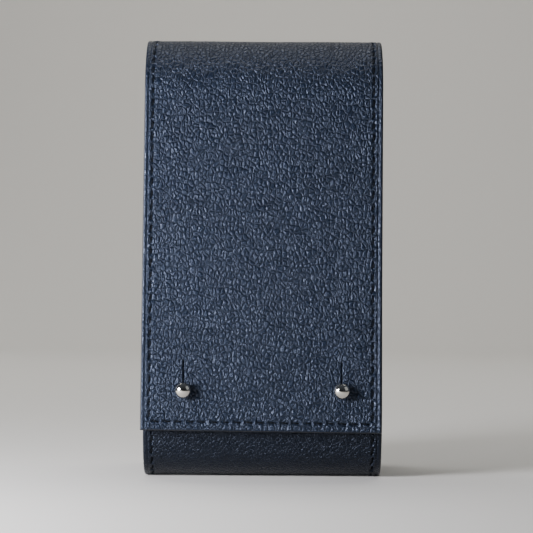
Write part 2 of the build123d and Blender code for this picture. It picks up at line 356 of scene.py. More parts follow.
def broad_faces(live, block):
    """Faces over a grid of live cells: one for each whole block, and single cells in a block that is cut.

    A side that a block shares with single cells or a rim keeps every vertex.
    """
    rows, columns = live.shape
    row_lines = list(range(0, rows - block // 2, block)) + [rows]
    column_lines = list(range(0, columns - block // 2, block)) + [columns]
    tall, wide = len(row_lines) - 1, len(column_lines) - 1
    whole = np.zeros((tall + 2, wide + 2), bool)
    spans = {}
    for i in range(tall):
        for j in range(wide):
            span = (row_lines[i], row_lines[i + 1], column_lines[j], column_lines[j + 1])
            spans[i, j] = span
            whole[i + 1, j + 1] = live[span[0] : span[1], span[2] : span[3]].all()
    faces = []
    for (i, j), (r0, r1, c0, c1) in spans.items():
        if not whole[i + 1, j + 1]:
            for r, c in np.argwhere(live[r0:r1, c0:c1]) + (r0, c0):
                a = r * (columns + 1) + c
                faces.append((a, a + columns + 1, a + columns + 2, a + 1))
            continue
        down = 1 if not whole[i + 1, j] else r1 - r0
        over = 1 if not whole[i + 2, j + 1] else c1 - c0
        up = 1 if not whole[i + 1, j + 2] else r1 - r0
        back = 1 if not whole[i, j + 1] else c1 - c0
        loop = [(r, c0) for r in range(r0, r1, down)]
        loop += [(r1, c) for c in range(c0, c1, over)]
        loop += [(r, c1) for r in range(r1, r0, -up)]
        loop += [(r0, c) for c in range(c1, c0, -back)]
        faces.append(tuple(r * (columns + 1) + c for r, c in loop))
    return faces


def make_object(name, vertices, faces, materials, slots=None, uvs=None, sharp=38, attributes=None):
    """A mesh object at the origin, facing outwards, smooth except at sharp edges."""
    mesh = bpy.data.meshes.new(name)
    mesh.from_pydata(np.asarray(vertices).tolist(), [], [list(map(int, f)) for f in faces])
    for material in materials:
        mesh.materials.append(material)
    if slots is not None:
        mesh.polygons.foreach_set("material_index", np.asarray(slots, np.int32))
    for key, values in (attributes or {}).items():
        values = np.asarray(values, np.float32)
        kind = "FLOAT" if values.ndim == 1 else "FLOAT_VECTOR"
        field = "value" if values.ndim == 1 else "vector"
        mesh.attributes.new(key, kind, "POINT").data.foreach_set(field, values.ravel())
    if uvs is not None:
        layer = mesh.uv_layers.new(name="surface")
        loops = np.zeros(len(mesh.loops), np.int32)
        mesh.loops.foreach_get("vertex_index", loops)
        layer.data.foreach_set("uv", np.asarray(uvs, np.float32)[loops].ravel())
    if len(mesh.polygons):
        solid = bmesh.new()
        solid.from_mesh(mesh)
        if solid.calc_volume(signed=True) < 0:
            bmesh.ops.reverse_faces(solid, faces=solid.faces)
            solid.to_mesh(mesh)
        solid.free()
        mesh.polygons.foreach_set("use_smooth", np.ones(len(mesh.polygons), bool))
        mesh.set_sharp_from_angle(angle=math.radians(sharp))
    mesh.update()
    item = bpy.data.objects.new(name, mesh)
    bpy.context.scene.collection.objects.link(item)
    return item


def make_shell(name, outer, inner, quads, materials, uvs, broad=None, from_edge=None, grain=None):
    """A closed skin: an outer face, an inner face and walls round every rim.

    The materials are the outer face's, the cut edge's and the inner face's. The inner face can be made
    of broad faces, from_edge is each vertex's distance to the cut edge, and grain is how much of the
    grain each vertex shows.
    """
    count = len(outer)
    rim = rims(quads)
    walls = np.stack([rim[:, 1], rim[:, 0], rim[:, 0] + count, rim[:, 1] + count], axis=1)
    front = quads.tolist()
    behind = [[i + count for i in f[::-1]] for f in broad or front]
    faces = [list(dict.fromkeys(f)) for f in front + behind + walls.tolist()]
    face_slot = np.zeros(len(quads))
    if from_edge is not None:
        face_slot = (from_edge[quads].mean(axis=1) < PAINT).astype(float)
    slots = np.concatenate([face_slot, np.full(len(behind), 2), np.ones(len(walls))])
    used = np.zeros(2 * count, bool)
    for face in faces:
        used[face] = True
    number = np.cumsum(used) - 1
    faces = [number[f].tolist() for f in faces]
    attributes = None
    if grain is not None:
        attributes = {"grain": np.concatenate([grain, np.zeros(count)])[used]}
    vertices, texture = np.concatenate([outer, inner])[used], np.concatenate([uvs, uvs])[used]
    return make_object(name, vertices, faces, materials, slots, texture, attributes=attributes)


def edge_drop(distance, radius):
    """How far a rounded edge falls below the face, at a distance in from the cut."""
    inside = np.clip(radius - distance, 0, radius)
    return radius - np.sqrt(np.maximum(radius**2 - inside**2, 0))


def steps(low, high, size, fine=(), edges=(True, True), edge=0.45 * MM):
    """Grid positions from low to high: even steps, close ones at rounded edges, and a few exact ones."""
    # even steps this near a rounded edge or an exact position make way for it
    edge_room, exact_room = edge * 1.3, size * 0.45
    count = max(1, round((high - low) / size))
    values = list(np.linspace(low, high, count + 1))
    round_steps = edge * (1 - np.cos(np.linspace(0, math.pi / 2, 5)))
    if edges[0]:
        values = [v for v in values if v > low + edge_room] + list(low + round_steps)
    if edges[1]:
        values = [v for v in values if v < high - edge_room] + list(high - round_steps)
    for exact in fine:
        values = [v for v in values if abs(v - exact) > exact_room] + [exact]
    return np.array(sorted(values))


def undulation(u, v, amount, seed):
    """Slow waves of hand-cut leather, each bent by a slower one across it."""
    random = np.random.default_rng(seed)
    total = np.zeros(np.broadcast(u, v).shape)
    waves = (95 * MM, 61 * MM, 37 * MM)
    for wave in waves:
        a, b, c, d = random.uniform(0, 2 * math.pi, 4)
        across = np.sin(u / wave * 2 * math.pi + a + 0.8 * np.sin(v / wave * 3 + b))
        along = np.sin(v / (wave * 1.3) * 2 * math.pi + c + 0.6 * np.sin(u / wave * 4 + d))
        total += across * along
    return total / len(waves) * amount


# ---------------------------------------------------------------- seams


class Seam:
    """Stitches along a line on the strip: their middles across and along it, their angles and their pitch."""

    def __init__(self, u, v, pitch, slant):
        along = np.concatenate([[0], np.cumsum(np.hypot(np.diff(u), np.diff(v)))])
        count = max(1, round(along[-1] / pitch))
        self.pitch = along[-1] / count
        middle = (np.arange(count) + 0.5) * self.pitch
        self.stitch_u = np.interp(middle, along, u)
        self.stitch_v = np.interp(middle, along, v)
        # the line's direction is read a little way either side of each middle
        before, after = middle - 0.3 * MM, middle + 0.3 * MM
        du = np.interp(after, along, u) - np.interp(before, along, u)
        dv = np.interp(after, along, v) - np.interp(before, along, v)
        self.angle = np.arctan2(-dv, du) + slant


def side_line(path, inset, start, end, side):
    """Points of a seam about 1 mm apart, at a constant distance from one side edge."""
    v = np.linspace(start, end, max(2, round((end - start) / MM) + 1))
    return side * (half_width(path, v) - inset), v


def flap_loop(path, seams):
    """Points of the flap's seam: down the left side, across the lower edge and up the right side."""
    end = path.at["end"] - seams.inset
    left_u, left_v = side_line(path, seams.inset, path.crown_middle, end - seams.corner, -1)
    right_u, right_v = side_line(path, seams.inset, path.crown_middle, end - seams.corner, 1)
    turn = np.linspace(0, math.pi / 2, 7)[1:]
    x, r = -left_u[-1], seams.corner
    corner_u = np.concatenate([-x + r - r * np.cos(turn), x - r + r * np.sin(turn)])
    corner_v = np.concatenate([end - r + r * np.sin(turn), end - r + r * np.cos(turn)])
    u = np.concatenate([left_u, corner_u, right_u[::-1][1:]])
    v = np.concatenate([left_v, corner_v, right_v[::-1][1:]])
    return u, v


def press_stitches(height, grain, u, v, seam, length):
    """Sink a seam: a dent under each stitch, holes at its ends, puckers round it and flattened grain."""
    columns, rows = u[0], v[:, 0]
    half = length / 2
    dent_width, dent_end, pucker = 0.34 * MM, 0.12 * MM, 0.42 * MM
    beside_reach, between_width = 0.95 * MM, 0.6 * MM
    reach = length * 0.95
    for su, sv, angle in zip(seam.stitch_u, seam.stitch_v, seam.angle):
        c0, c1 = np.searchsorted(columns, [su - reach, su + reach])
        r0, r1 = np.searchsorted(rows, [sv - reach, sv + reach])
        if c0 == c1 or r0 == r1:
            continue
        du, dv = u[r0:r1, c0:c1] - su, v[r0:r1, c0:c1] - sv
        a = du * math.cos(angle) - dv * math.sin(angle)
        b = du * math.sin(angle) + dv * math.cos(angle)
        past_end = np.abs(a) - half
        dent = hill(b, dent_width) / (1 + np.exp(past_end / dent_end))
        hole = hill(past_end, dent_width) * hill(b, dent_width)
        beside = hill(np.abs(b) - beside_reach, pucker) * hill(a, half)
        between = hill(np.abs(a) - seam.pitch / 2, pucker) * hill(b, between_width)
        height[r0:r1, c0:c1] += MM * (0.12 * beside + 0.16 * between - 0.46 * dent - 0.3 * hole)
        near = hill(b, beside_reach) * np.exp(-((a / (seam.pitch * 0.55)) ** 4))
        grain[r0:r1, c0:c1] = np.minimum(grain[r0:r1, c0:c1], 1 - 0.4 * near)


# ---------------------------------------------------------------- materials


def add(tree, kind, links=None, **settings):
    """Add a node, set its options, and set or link its inputs. A node as a value means its first output."""
    node = tree.nodes.new(kind)
    for key, value in settings.items():
        setattr(node, key, value)
    for key, value in (links or {}).items():
        if isinstance(value, bpy.types.Node):
            value = value.outputs[0]
        if isinstance(value, bpy.types.NodeSocket):
            tree.links.new(value, node.inputs[key])
        else:
            node.inputs[key].default_value = value
    return node


def new_material(name):
    """A material with an empty node tree."""
    material = bpy.data.materials.new(name)
    material.use_nodes = True
    material.node_tree.nodes.clear()
    return material, material.node_tree


def close_material(material, look):
    """Give a material its shader, with the values and nodes of its look."""
    shader = add(material.node_tree, "ShaderNodeBsdfPrincipled", look)
    add(material.node_tree, "ShaderNodeOutputMaterial", {"Surface": shader})
    return material


def rgba(values, tone=1.0):
    """A colour with full alpha, made lighter or darker by a tone."""
    return (*(min(1.0, c * tone) for c in values), 1.0)


def grain_height(tree, place, cell, flat):
    """Height of the grain, from 0 in the creases to about 1: uneven raised cells, wrinkled between."""
    size = "2D" if flat else "3D"
    # one unit of these textures is a metre, so a scale of 1 / size gives features of that size
    fold_size, patch_size = 2.1 * cell, 2.6 * cell
    fold_shift = 1.15 * cell
    stretch = (1.12, 0.8, 0.9)
    flank, roundness = 4.6, 0.75
    wrinkle_size, wrinkle_height = 0.47, 0.38
    # the cells are drawn on a surface that is shifted about, so that none has a straight side
    folds = {"Vector": place, "Scale": 1 / fold_size, "Detail": 2.0, "Roughness": 0.6}
    warp = add(tree, "ShaderNodeTexNoise", folds, noise_dimensions=size)
    centred = {0: warp.outputs["Color"], 1: (0.5, 0.5, 0.5)}
    shift = add(tree, "ShaderNodeVectorMath", centred, operation="SUBTRACT")
    shift = add(tree, "ShaderNodeVectorMath", {0: shift, "Scale": fold_shift}, operation="SCALE")
    warped = add(tree, "ShaderNodeVectorMath", {0: place, 1: shift}, operation="ADD")
    tall = add(tree, "ShaderNodeVectorMath", {0: warped, 1: stretch}, operation="MULTIPLY")
    levels = []
    for share in (1.0, wrinkle_size):
        cells = add(
            tree,
            "ShaderNodeTexVoronoi",
            {"Vector": tall, "Scale": 1 / (cell * share), "Randomness": 1.0},
            voronoi_dimensions=size,
            feature="DISTANCE_TO_EDGE",
        )
        spread = add(tree, "ShaderNodeMath", {0: cells, 1: flank}, operation="MULTIPLY", use_clamp=True)
        levels.append(add(tree, "ShaderNodeMath", {0: spread, 1: roundness}, operation="POWER"))
    # in patches, either the cells stand high or the wrinkles do
    patches = {"Vector": place, "Scale": 1 / patch_size, "Detail": 1.0}
    patch = add(tree, "ShaderNodeTexNoise", patches, noise_dimensions=size)
    fewer = {0: patch, 1: -0.9, 2: 0.95}
    share = add(tree, "ShaderNodeMath", fewer, operation="MULTIPLY_ADD", use_clamp=True)
    wrinkles = add(tree, "ShaderNodeMath", {0: levels[1], 1: share}, operation="MULTIPLY")
    rise = add(tree, "ShaderNodeMath", {0: patch, 1: 0.6, 2: 0.4}, operation="MULTIPLY_ADD")
    body = add(tree, "ShaderNodeMath", {0: levels[0], 1: rise}, operation="MULTIPLY")
    total = {0: wrinkles, 1: wrinkle_height, 2: body}
    return add(tree, "ShaderNodeMath", total, operation="MULTIPLY_ADD")


def pebbled_leather(name, finish, cell, tone=1.0, shine=0.5, flat=True):
    """Drum-dyed shrunken calf, lightly waxed: its raised cells shine, and the creases between stay dull."""
    material, tree = new_material(name)
    pore_size, patch_size = 0.3 * MM, 16 * MM
    valley_roughness, peak_roughness = 0.5, 0.27
    if flat:
        place = add(tree, "ShaderNodeUVMap", uv_map="surface").outputs[0]
    else:
        place = add(tree, "ShaderNodeTexCoord").outputs["Object"]
    height = grain_height(tree, place, cell, flat)
    pores = add(tree, "ShaderNodeTexNoise", {"Vector": place, "Scale": 1 / pore_size, "Detail": 3.0})
    relief = add(tree, "ShaderNodeMath", {0: pores, 1: 0.34, 2: height}, operation="MULTIPLY_ADD")
    # the grain is pressed flat along creases and seams, where the attribute is low
    worked = add(tree, "ShaderNodeAttribute", attribute_name="grain").outputs["Fac"]
    share = add(tree, "ShaderNodeMath", {0: worked, 1: 0.75, 2: 0.25}, operation="MULTIPLY_ADD")
    relief = add(tree, "ShaderNodeMath", {0: relief, 1: share}, operation="MULTIPLY")
    bump = add(tree, "ShaderNodeBump", {"Height": relief, "Strength": 1.0, "Distance": 0.21 * cell})
    # the colour darkens into the grain's creases as painted shade, and the dye is a little uneven in patches
    patches = add(tree, "ShaderNodeTexNoise", {"Vector": place, "Scale": 1 / patch_size, "Detail": 2.0})
    uneven = add(tree, "ShaderNodeMath", {0: patches, 1: 0.35}, operation="MULTIPLY")
    depth = {0: height, 1: 0.75, 2: uneven}
    mix = add(tree, "ShaderNodeMath", depth, operation="MULTIPLY_ADD", use_clamp=True)
    # a tone below 1 darkens both navies of the leather as painted shade
    colours = {"Factor": mix, 6: rgba(finish.leather_shaded_valleys, tone), 7: rgba(finish.leather_high, tone)}
    dye = add(tree, "ShaderNodeMix", colours, data_type="RGBA").outputs[2]
    wax = {"Value": height, "From Min": 0.1, "To Min": valley_roughness, "To Max": peak_roughness}
    rough = add(tree, "ShaderNodeMapRange", wax, interpolation_type="SMOOTHSTEP")
    look = {
        "Base Color": dye,
        "Roughness": rough,
        "Normal": bump,
        "Specular IOR Level": shine,
        # the specular tint paints the reflections blue, standing in for bluish light
        "Specular Tint": rgba(finish.wax),
    }
    return close_material(material, look)


def edge_paint(name, finish):
    """Burnished cut edge with two coats of edge paint: smooth, dark and a little glossy."""
    material, tree = new_material(name)
    place = add(tree, "ShaderNodeTexCoord").outputs["Object"]
    ripple = add(tree, "ShaderNodeTexNoise", {"Vector": place, "Scale": 1 / (1.5 * MM), "Detail": 3.0})
    bump = add(tree, "ShaderNodeBump", {"Height": ripple, "Strength": 0.35, "Distance": 0.1 * MM})
    gloss = {"Value": ripple, "From Min": 0.3, "From Max": 0.7, "To Min": 0.36, "To Max": 0.54}
    rough = add(tree, "ShaderNodeMapRange", gloss)
    look = {"Base Color": rgba(finish.edge), "Roughness": rough, "Normal": bump}
    return close_material(material, look)


def smooth_lining(name, tint, nap=False):
    """Split leather lining: nap gives suede, without it a fine smooth grain."""
    material, tree = new_material(name)
    fibre_size = (0.5 if nap else 0.35) * MM
    patch_size = 14 * MM
    place = add(tree, "ShaderNodeUVMap", uv_map="surface")
    fibres = {"Vector": place, "Scale": 1 / fibre_size, "Detail": 6.0, "Roughness": 0.7}
    fibre = add(tree, "ShaderNodeTexNoise", fibres, noise_dimensions="2D")
    # brushed in patches by hands and dice
    patches = {"Vector": place, "Scale": 1 / patch_size, "Detail": 3.0}
    broad = add(tree, "ShaderNodeTexNoise", patches, noise_dimensions="2D")
    brushed = add(tree, "ShaderNodeMath", {0: broad, 1: 0.6}, operation="MULTIPLY")
    mix = add(tree, "ShaderNodeMath", {0: fibre, 1: 0.5, 2: brushed}, operation="MULTIPLY_ADD")
    colours = {"Factor": mix, 6: rgba(tint, 0.7), 7: rgba(tint, 1.3)}
    dye = add(tree, "ShaderNodeMix", colours, data_type="RGBA").outputs[2]
    raised = {"Height": fibre, "Strength": 0.6 if nap else 0.35, "Distance": 0.12 * MM}
    bump = add(tree, "ShaderNodeBump", raised)
    look = {
        "Base Color": dye,
        "Roughness": 0.9 if nap else 0.55,
        "Normal": bump,
        "Sheen Weight": 0.35 if nap else 0.0,
        "Sheen Roughness": 0.4,
    }
    return close_material(material, look)


def waxed_thread(name, finish):
    """Twisted polyester thread, waxed: near black, with a soft shine along the twist."""
    material, tree = new_material(name)
    place = add(tree, "ShaderNodeTexCoord").outputs["Object"]
    # a band texture has 20 radians to the unit, and the twist repeats at this length
    twist_length = 0.55 * MM
    scale = 2 * math.pi / twist_length / 20
    twists = {"Vector": place, "Scale": scale, "Distortion": 1.5, "Detail": 1.0}
    bands = {"wave_type": "BANDS", "bands_direction": "DIAGONAL"}
    twist = add(tree, "ShaderNodeTexWave", twists, **bands).outputs["Fac"]
    bump = add(tree, "ShaderNodeBump", {"Height": twist, "Strength": 0.8, "Distance": 0.1 * MM})
    look = {
        "Base Color": rgba(finish.thread),
        "Roughness": 0.75,
        "Normal": bump,
        "Specular IOR Level": 0.12,
    }
    return close_material(material, look)


def polished_nickel(name, finish):
    """Nickel-plated brass, mirror polished, with faint swirls from handling."""
    material, tree = new_material(name)
    place = add(tree, "ShaderNodeTexCoord").outputs["Object"]
    swirl = add(tree, "ShaderNodeTexNoise", {"Vector": place, "Scale": 1 / (1.1 * MM), "Detail": 4.0})
    haze = {"Value": swirl, "From Min": 0.3, "From Max": 0.7, "To Min": 0.05, "To Max": 0.13}
    rough = add(tree, "ShaderNodeMapRange", haze)
    look = {"Base Color": rgba(finish.metal), "Metallic": 1.0, "Roughness": rough}
    return close_material(material, look)


def inner_part(name, tint, metal, rough):
    """Parts hidden in the walls: bonded leather board, fibrous and matt, or steel with fine tool marks."""
    material, tree = new_material(name)
    place = add(tree, "ShaderNodeTexCoord").outputs["Object"]
    fibres = {"Vector": place, "Scale": 1 / (0.6 * MM), "Detail": 5.0, "Roughness": 0.7}
    fibre = add(tree, "ShaderNodeTexNoise", fibres)
    bump = add(tree, "ShaderNodeBump", {"Height": fibre, "Strength": 0.4, "Distance": 0.1 * MM})
    colours = {"Factor": fibre, 6: rgba(tint, 0.75), 7: rgba(tint, 1.2)}
    mixed = add(tree, "ShaderNodeMix", colours, data_type="RGBA").outputs[2]
    look = {"Base Color": mixed, "Metallic": metal, "Roughness": rough, "Normal": bump}
    return close_material(material, look)


def material_set():
    """Every material of the cup, made once."""
    finish, grain = bpy.context.scene.cup_finishes, bpy.context.scene.cup_grain
    # the front panel, base and gussets take the navy at about a third of its brightness: painted shade for
    # the flap's shadow and the body curving under
    fine = {"cell": grain.fine_cell, "tone": 0.35, "shine": 0.37}
    makers = {
        "shrunken_calf": lambda n: pebbled_leather(n, finish, grain.cell),
        "fine_grain_calf": lambda n: pebbled_leather(n, finish, **fine),
        "gusset_calf": lambda n: pebbled_leather(n, finish, **fine, flat=False),
        "edge_paint": lambda n: edge_paint(n, finish),
        "flap_lining_leather": lambda n: smooth_lining(n, finish.lining),
        "cup_lining_suede": lambda n: smooth_lining(n, finish.suede, nap=True),
        "waxed_thread": lambda n: waxed_thread(n, finish),
        "polished_nickel": lambda n: polished_nickel(n, finish),
        "bonded_board": lambda n: inner_part(n, finish.board, 0.0, 0.85),
        "turned_steel": lambda n: inner_part(n, finish.steel, 1.0, 0.35),
    }
    return {n: bpy.data.materials.get(n) or make(n) for n, make in makers.items()}


# ---------------------------------------------------------------- geometry nodes


def mesh_tree(name, inputs):
    """A geometry node tree with a mesh in, a mesh out and named inputs. Gives the tree and its input node."""
    tree = bpy.data.node_groups.new(name, "GeometryNodeTree")
    tree.interface.new_socket(name="Geometry", in_out="INPUT", socket_type="NodeSocketGeometry")
    tree.interface.new_socket(name="Geometry", in_out="OUTPUT", socket_type="NodeSocketGeometry")
    for label, kind in inputs.items():
        tree.interface.new_socket(name=label, in_out="INPUT", socket_type=f"NodeSocket{kind}")
    return tree, tree.nodes.new("NodeGroupInput")


def apply_tree(item, tree, values):
    """Run a tree on an object and keep its result as a plain mesh."""
    modifier = item.modifiers.new(tree.name, "NODES")
    modifier.node_group = tree
    for socket in tree.interface.items_tree:
        if socket.name in values:
            modifier[socket.identifier] = values[socket.name]
    graph = bpy.context.evaluated_depsgraph_get()
    made = bpy.data.meshes.new_from_object(item.evaluated_get(graph))
    item.modifiers.remove(modifier)
    plain, item.data = item.data, made
    bpy.data.meshes.remove(plain)


def end_tree(tree, mesh, material, chosen=True):
    """Close a tree: make instances real and give the chosen faces their material."""
    real = add(tree, "GeometryNodeRealizeInstances", {0: mesh})
    paint = {"Geometry": real, "Selection": chosen, "Material": material}
    add(tree, "NodeGroupOutput", {0: add(tree, "GeometryNodeSetMaterial", paint)})


def grain_tree(name, cell, flat):
    """Raise the leather's grain on a mesh, as far as its grain attribute lets it."""
    tree, given = mesh_tree(name, {"Relief": "Float", "Leather": "Material"})
    vector = {"data_type": "FLOAT_VECTOR"}
    if flat:
        place = add(tree, "GeometryNodeInputNamedAttribute", {"Name": "surface"}, **vector)
    else:
        place = add(tree, "GeometryNodeInputPosition")
    worked = add(tree, "GeometryNodeInputNamedAttribute", {"Name": "grain"}, data_type="FLOAT")
    # measured from near the top of the grain, so that its creases sink into the leather
    height = grain_height(tree, place, cell, flat)
    height = add(tree, "ShaderNodeMath", {0: height, 1: 0.75}, operation="SUBTRACT")
    height = add(tree, "ShaderNodeMath", {0: height, 1: given.outputs["Relief"]}, operation="MULTIPLY")
    rise = add(tree, "ShaderNodeMath", {0: height, 1: worked}, operation="MULTIPLY")
    normal = add(tree, "GeometryNodeInputNormal")
    offset = add(tree, "ShaderNodeVectorMath", {0: normal, "Scale": rise}, operation="SCALE")
    raised = {"Geometry": given.outputs["Geometry"], "Offset": offset}
    moved = add(tree, "GeometryNodeSetPosition", raised)
    index = add(tree, "GeometryNodeInputMaterialIndex")
    grain_side = add(tree, "FunctionNodeCompare", {2: index, 3: 0}, data_type="INT", operation="EQUAL")
    end_tree(tree, moved, given.outputs["Leather"], grain_side)
    return tree


def stitch_tree():
    """Put one sunk stitch on each point, along its run and square to its face."""
    inputs = {
        "Stitch Length": "Float",
        "Thread": "Float",
        "Bury": "Float",
        "Seed": "Int",
        "Waxed Thread": "Material",
    }
    tree, given = mesh_tree("hand_stitches", inputs)
    # the thread rises out of one hole, lies along the leather and dips into the next
    span, thick, bury = (given.outputs[n] for n in ("Stitch Length", "Thread", "Bury"))
    drop = add(tree, "ShaderNodeMath", {0: bury, 1: -1.0}, operation="MULTIPLY")
    rise = add(tree, "ShaderNodeMath", {0: thick, 1: 0.62}, operation="MULTIPLY")
    bend = {"Resolution": 7}
    shares = {
        "Start": (-0.5, drop),
        "Start Handle": (-0.36, rise),
        "End Handle": (0.36, rise),
        "End": (0.5, drop),
    }
    for label, (share, height) in shares.items():
        reach = add(tree, "ShaderNodeMath", {0: span, 1: share}, operation="MULTIPLY")
        bend[label] = add(tree, "ShaderNodeCombineXYZ", {"X": reach, "Z": height})
    arch = add(tree, "GeometryNodeCurvePrimitiveBezierSegment", bend, mode="POSITION")
    radius = add(tree, "ShaderNodeMath", {0: thick, 1: 0.5}, operation="MULTIPLY")
    ring = add(tree, "GeometryNodeCurvePrimitiveCircle", {"Resolution": 6, "Radius": radius})
    tube = add(tree, "GeometryNodeCurveToMesh", {"Curve": arch, "Profile Curve": ring, "Fill Caps": True})
    vector = {"data_type": "FLOAT_VECTOR"}
    run = add(tree, "GeometryNodeInputNamedAttribute", {"Name": "run"}, **vector)
    face = add(tree, "GeometryNodeInputNamedAttribute", {"Name": "face"}, **vector)
    turned = add(tree, "FunctionNodeAlignRotationToVector", {"Vector": run}, axis="X")
    upright = {"Rotation": turned, "Vector": face}
    turned = add(tree, "FunctionNodeAlignRotationToVector", upright, axis="Z", pivot_axis="X")
    # no two stitches are quite the same size
    range_of_sizes = {2: 0.94, 3: 1.05, "Seed": given.outputs["Seed"]}
    uneven = add(tree, "FunctionNodeRandomValue", range_of_sizes, data_type="FLOAT")
    stitches = {
        "Points": given.outputs["Geometry"],
        "Instance": tube,
        "Rotation": turned,
        "Scale": uneven.outputs[1],
    }
    placed = add(tree, "GeometryNodeInstanceOnPoints", stitches)
    end_tree(tree, placed, given.outputs["Waxed Thread"])
    return tree


# ---------------------------------------------------------------- leather strip


def keyhole_places(path):
    """Middles of the keyholes across the flap, allowing for its drift, and their place along it."""
    v = path.at["end"] - bpy.context.scene.cup_studs.margin
    low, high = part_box("right_stud")
    aside = path.drift * float(path.hang(v))
    return [s * (low.x + high.x) / 2 + aside for s in (-1, 1)], v


def cut_keyholes(path, u, v, quads):
    """Take the keyholes out of a grid, and move their rims onto the true outline."""
    studs = bpy.context.scene.cup_studs
    middles, centre_v = keyhole_places(path)
    radius = studs.keyhole / 2
    middle_u, middle_v = u.ravel()[quads].mean(axis=1), v.ravel()[quads].mean(axis=1)
    inside = np.zeros(len(quads), bool)
    for centre_u in middles:
        du, dv = middle_u - centre_u, middle_v - centre_v
        inside |= du**2 + dv**2 < radius**2
        inside |= (np.abs(du) < studs.slit / 2) & (dv < 0) & (dv > -studs.slit_reach)
    rim = np.unique(rims(quads[~inside]))
    moved_u, moved_v = u.ravel().copy(), v.ravel().copy()
    for centre_u in middles:
        du, dv = moved_u[rim] - centre_u, moved_v[rim] - centre_v
        r = np.hypot(du, dv)
        slit = (np.abs(du) < studs.slit * 0.6) & (dv < -radius * 0.95)
        factor = np.where((r < radius * 1.7) & ~slit, radius / np.maximum(r, 1e-6), 1.0)
        moved_u[rim] = centre_u + du * factor
        moved_v[rim] = centre_v + dv * factor
    return moved_u.reshape(u.shape), moved_v.reshape(v.shape), ~inside


def near_keyholes(path, u, v):
    """Distance to the nearest keyhole's outline."""
    studs = bpy.context.scene.cup_studs
    middles, centre_v = keyhole_places(path)
    nearest = np.full(u.shape, 1.0)
    for centre_u in middles:
        du, dv = np.abs(u - centre_u), v - centre_v
        slit = np.hypot(du, np.maximum(-dv - studs.slit_reach, 0) + np.maximum(dv, 0))
        nearest = np.minimum(nearest, np.minimum(slit, np.abs(np.hypot(du, dv) - studs.keyhole / 2)))
    return nearest


def press_creases(height, grain, side):
    """Sink the creased line inside each side edge, with the leather pushed up in a lip beyond it."""
    sizes = bpy.context.scene.cup_sizes
    crease_width, lip_width, lip_offset = 0.22 * MM, 0.3 * MM, 0.5 * MM
    crease = hill(side - sizes.crease_inset, crease_width)
    lip = hill(side - sizes.crease_inset + lip_offset, lip_width)
    height += sizes.crease_depth * (0.3 * lip - crease)
    grain *= 1 - 0.75 * np.clip(crease + lip, 0, 1)


def strip_sheet(
    name,
    rows,
    columns,
    near,
    far,
    cuts,
    skins,
    seams=(),
    keyholes=False,
    relief=True,
    across=None,
):
    """One length of the strip as a closed sheet, between two depths behind the strip's face.

    The cuts say whether its first and last rows are cut edges, and across is its half width where that
    isn't the strip's own.
    """
    sizes = bpy.context.scene.cup_sizes
    path = Profile(sizes)
    u, v = np.meshgrid(columns, rows)
    width = half_width(path, v) if across is None else np.full_like(v, across)
    u = u * width / columns[-1]
    side = width - np.abs(u)
    quads = grid_quads(len(rows), len(columns))
    live = np.ones(len(quads), bool)
    if keyholes:
        u, v, live = cut_keyholes(path, u, v, quads)
    ends = [away for away, cut in zip((v - rows[0], rows[-1] - v), cuts) if cut]
    height = -sum(edge_drop(away, sizes.edge_round) for away in (side, *ends))
    grain = np.ones_like(u)
    if relief:
        press_creases(height, grain, side)
        grain *= np.clip((side - PAINT) / FADE, 0, 1)
        for seam in seams:
            press_stitches(height, grain, u, v, seam, bpy.context.scene.cup_seams.length)
    if keyholes and relief:
        # the leather is pressed down and worn smooth round the keyholes
        dish_depth, dish_width = 0.14 * MM, 0.4 * MM
        close = near_keyholes(path, u, v)
        height -= dish_depth * hill(close, dish_width)
        grain *= np.clip(close / FADE, 0.15, 1)
    for away in ends:
        grain *= np.clip((away - PAINT) / FADE, 0, 1)
    # the sheet waves a little, but its side edges stay straight over this width
    wave_height, wave_seed, straight = 0.12 * MM, 3, 10 * MM
    wave = undulation(u, v, wave_height, wave_seed) * np.clip(side / straight, 0, 1)
    outer = path.place(u, v, height + wave - near).reshape(-1, 3)
    inner = path.place(u, v, wave - far + edge_drop(side, sizes.edge_round * 0.6)).reshape(-1, 3)
    uvs = np.stack([u.ravel(), v.ravel()], axis=1)
    from_edge = np.minimum.reduce([side, *ends]).ravel()
    if not relief:
        return make_shell(name, outer, inner, quads[live], skins, uvs, from_edge=from_edge)
    broad = broad_faces(live.reshape(len(rows) - 1, len(columns) - 1), 8)
    return make_shell(name, outer, inner, quads[live], skins, uvs, broad, from_edge, grain.ravel())


def side_seams(path, start, end):
    """The seams along both side edges, between two places along the strip."""
    seams = bpy.context.scene.cup_seams
    made = []
    for side in (-1, 1):
        u, v = side_line(path, seams.inset, start, end, side)
        if side > 0:
            u, v = u[::-1], v[::-1]
        made.append(Seam(u, v, seams.pitch, seams.slant))
    return made


def mouth_line(path):
    """Points of the seam along the front panel's top edge."""
    seams = bpy.context.scene.cup_seams
    reach = float(half_width(path, 0.0)) - seams.inset - seams.pitch / 2
    u = np.linspace(-reach, reach, 60)
    return u, np.full_like(u, seams.inset)


def seam_set(path):
    """Every seam by the length of leather that it lies on."""
    seams = bpy.context.scene.cup_seams
    loop = Seam(*flap_loop(path, seams), seams.pitch, seams.slant)
    mouth = Seam(*mouth_line(path), seams.pitch, seams.slant)
    return {
        "front": side_seams(path, seams.inset, path.base_middle) + [mouth],
        "back": side_seams(path, path.base_middle, path.crown_middle),
        "flap": [loop],
    }


# ---------------------------------------------------------------- bends


def bend_at_back(piece, path):
    """Bake a piece's placement into its mesh; the ends of the bend between the back and the crown are found,
    but the piece is not made to bend.
    """
    start = path.place(0.0, path.at["back_shoulder"] - 1 * MM)
    end = path.place(0.0, path.at["crown"])
    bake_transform(piece)


